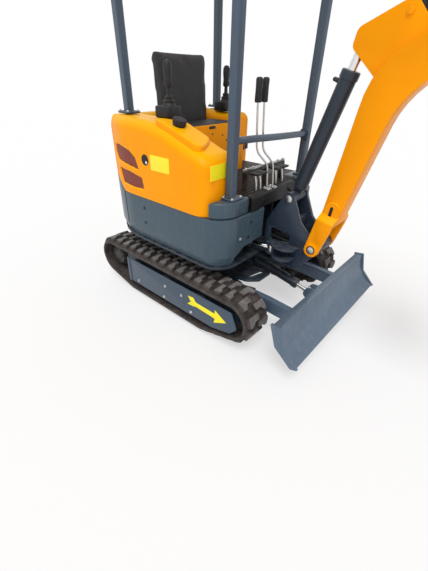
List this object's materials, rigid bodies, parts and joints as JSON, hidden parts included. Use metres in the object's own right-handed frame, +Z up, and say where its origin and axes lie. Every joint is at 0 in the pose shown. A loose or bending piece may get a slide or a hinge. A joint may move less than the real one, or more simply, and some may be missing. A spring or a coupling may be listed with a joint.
{
  "type": "mini excavator",
  "caption": "Small tracked excavator with a four-post canopy, swinging boom, arm and bucket worked by hydraulic rams, and a dozer blade in front.",
  "frame": {"origin": "on the ground, under the middle of the parked machine's bounding box; the slew axis stands at x = -0.497 m, y = 0", "axes": "+X forwards, towards the blade and the boom; +Y to the operator's left; +Z up"},
  "size_m": [2.275, 0.95, 2.195],
  "materials": {
    "yellow_paint": "gloss orange-yellow machine paint",
    "slate_paint": "satin blue-grey paint",
    "dark_paint": "satin dark blue-grey paint",
    "black_plastic": "matt black",
    "rubber": "dull dark brown-grey rubber",
    "chrome_steel": "hard-chromed and polished",
    "cast_iron": "plain dark iron",
    "seat_vinyl": "soft black vinyl over foam",
    "engine_alloy": "plain grey block"
  },
  "bodies": {
    "undercarriage": {"car_body": "dark_paint", "track_right": "rubber", "sprocket_right": "cast_iron", "idler_right": "cast_iron", "track_frame_right": "dark_paint", "cover_plate_right": "slate_paint", "track_left": "rubber", "sprocket_left": "cast_iron", "idler_left": "cast_iron", "track_frame_left": "dark_paint", "cover_plate_left": "slate_paint"},
    "house": {"platform": "dark_paint", "skirt_right": "slate_paint", "skirt_left": "slate_paint", "counterweight": "slate_paint", "hood_right": "yellow_paint", "hood_left": "yellow_paint", "fuel_cap": "black_plastic", "floor_plate": "black_plastic", "post_pad_right": "slate_paint", "post_pad_left": "slate_paint", "engine": "engine_alloy", "seat_base": "black_plastic", "seat_cushion": "seat_vinyl", "seat_back": "seat_vinyl", "front_post_right": "slate_paint", "rear_post_right": "slate_paint", "front_post_left": "slate_paint", "rear_post_left": "slate_paint", "front_rail": "slate_paint", "canopy_roof": "yellow_paint", "pedal_shaft": "cast_iron", "travel_lever_right": "chrome_steel", "travel_lever_left": "chrome_steel", "control_stick_right": "black_plastic", "control_stick_left": "black_plastic"},
    "rear_hood": {"rear_hood_panel": "yellow_paint"},
    "blade": {"dozer_blade": "slate_paint"},
    "blade_barrel": {"blade_cylinder_barrel": "dark_paint"},
    "blade_rod": {"blade_cylinder_rod": "chrome_steel"},
    "swing_bracket": {"swing_bracket_frame": "dark_paint"},
    "swing_barrel": {"swing_cylinder_barrel": "dark_paint"},
    "swing_rod": {"swing_cylinder_rod": "chrome_steel"},
    "boom": {"boom_frame": "yellow_paint"},
    "boom_barrel": {"boom_cylinder_barrel": "dark_paint"},
    "boom_rod": {"boom_cylinder_rod": "chrome_steel"},
    "arm": {"arm_frame": "yellow_paint"},
    "arm_barrel": {"arm_cylinder_barrel": "dark_paint"},
    "arm_rod": {"arm_cylinder_rod": "chrome_steel"},
    "bucket": {"bucket_shell": "dark_paint"},
    "rocker": {"rocker_link": "dark_paint"},
    "link": {"bucket_link": "cast_iron"},
    "bucket_barrel": {"bucket_cylinder_barrel": "dark_paint"},
    "bucket_rod": {"bucket_cylinder_rod": "chrome_steel"}
  },
  "joints": [
    {"name": "slew", "type": "hinge", "parent": "undercarriage", "child": "house", "pos_m": [-0.49746, 0, 0.35], "axis": [0, 0, 1], "continuous": true},
    {"name": "blade_lift", "type": "hinge", "parent": "undercarriage", "child": "blade", "pos_m": [-0.14746, 0, 0.2], "axis": [0, -1, 0], "range_deg": [-28, 8]},
    {"name": "blade_barrel_turn", "type": "hinge", "parent": "undercarriage", "child": "blade_barrel", "pos_m": [-0.22746, 0, 0.282], "axis": [0, -1, 0], "range_deg": [-22.05, 7.02]},
    {"name": "blade_rod_slide", "type": "slide", "parent": "blade_barrel", "child": "blade_rod", "axis": [0.9823, 0, -0.1876], "range_m": [-0.0095, 0.0259]},
    {"name": "rear_hood_hinge", "type": "hinge", "parent": "house", "child": "rear_hood", "pos_m": [-0.88346, 0, 1.01], "axis": [0, 1, 0], "range_deg": [0, 65]},
    {"name": "boom_swing", "type": "hinge", "parent": "house", "child": "swing_bracket", "pos_m": [-0.01746, 0, 0.39], "axis": [0, 0, 1], "range_deg": [-50, 60]},
    {"name": "swing_barrel_turn", "type": "hinge", "parent": "house", "child": "swing_barrel", "pos_m": [-0.40246, -0.178, 0.436], "axis": [0, 0, 1], "range_deg": [-6, 6]},
    {"name": "swing_rod_slide", "type": "slide", "parent": "swing_barrel", "child": "swing_rod", "axis": [0.9787, 0.2055, 0], "range_m": [-0.074, 0.088]},
    {"name": "boom_lift", "type": "hinge", "parent": "swing_bracket", "child": "boom", "pos_m": [0.17054, 0, 0.488], "axis": [0, -1, 0], "range_deg": [-105, 3]},
    {"name": "boom_barrel_turn", "type": "hinge", "parent": "swing_bracket", "child": "boom_barrel", "pos_m": [0.00654, 0, 0.692], "axis": [0, -1, 0], "range_deg": [-99.07, 3.8]},
    {"name": "boom_rod_slide", "type": "slide", "parent": "boom_barrel", "child": "boom_rod", "axis": [0.2758, 0, 0.9612], "range_m": [-0.0145, 0.407]},
    {"name": "arm_pivot", "type": "hinge", "parent": "boom", "child": "arm", "pos_m": [0.99857, 0, 1.63516], "axis": [0, 1, 0], "range_deg": [-95, 0]},
    {"name": "arm_barrel_turn", "type": "hinge", "parent": "boom", "child": "arm_barrel", "pos_m": [0.31449, 0, 1.35619], "axis": [0, -1, 0], "range_deg": [-1, 5.73]},
    {"name": "arm_rod_slide", "type": "slide", "parent": "arm_barrel", "child": "arm_rod", "axis": [0.8659, 0, 0.5002], "range_m": [-0.2763, 0.003]},
    {"name": "bucket_pivot", "type": "hinge", "parent": "arm", "child": "bucket", "pos_m": [1.02614, 0, 0.84564], "axis": [0, 1, 0], "range_deg": [-135.8, 0]},
    {"name": "rocker_turn", "type": "hinge", "parent": "arm", "child": "rocker", "pos_m": [1.01916, 0, 1.04552], "axis": [0, -1, 0], "range_deg": [-1, 104]},
    {"name": "link_turn", "type": "hinge", "parent": "rocker", "child": "link", "pos_m": [1.10583, 0, 0.91701], "axis": [0, -1, 0], "range_deg": [-97.84, 1]},
    {"name": "bucket_barrel_turn", "type": "hinge", "parent": "arm", "child": "bucket_barrel", "pos_m": [1.11399, 0, 1.53913], "axis": [0, -1, 0], "range_deg": [-1, 3.39]},
    {"name": "bucket_rod_slide", "type": "slide", "parent": "bucket_barrel", "child": "bucket_rod", "axis": [-0.0131, 0, -0.9999], "range_m": [-0.2448, 0.003]}
  ],
  "couplings": [
    {"joint": "blade_barrel_turn", "follows": "blade_lift", "ratio": 0.75188},
    {"joint": "blade_rod_slide", "follows": "blade_lift", "m_per_rad": -0.046888},
    {"joint": "swing_barrel_turn", "follows": "boom_swing", "ratio": -0.09},
    {"joint": "swing_rod_slide", "follows": "boom_swing", "m_per_rad": 0.08},
    {"joint": "boom_barrel_turn", "follows": "boom_lift", "ratio": 0.93399},
    {"joint": "boom_rod_slide", "follows": "boom_lift", "m_per_rad": -0.22045},
    {"joint": "arm_barrel_turn", "follows": "arm_pivot", "ratio": -0.049817},
    {"joint": "arm_rod_slide", "follows": "arm_pivot", "m_per_rad": 0.16486},
    {"joint": "rocker_turn", "follows": "bucket_pivot", "ratio": -0.75847},
    {"joint": "link_turn", "follows": "bucket_pivot", "ratio": 0.7131},
    {"joint": "bucket_barrel_turn", "follows": "bucket_pivot", "ratio": -0.017599},
    {"joint": "bucket_rod_slide", "follows": "bucket_pivot", "m_per_rad": 0.102}
  ]
}
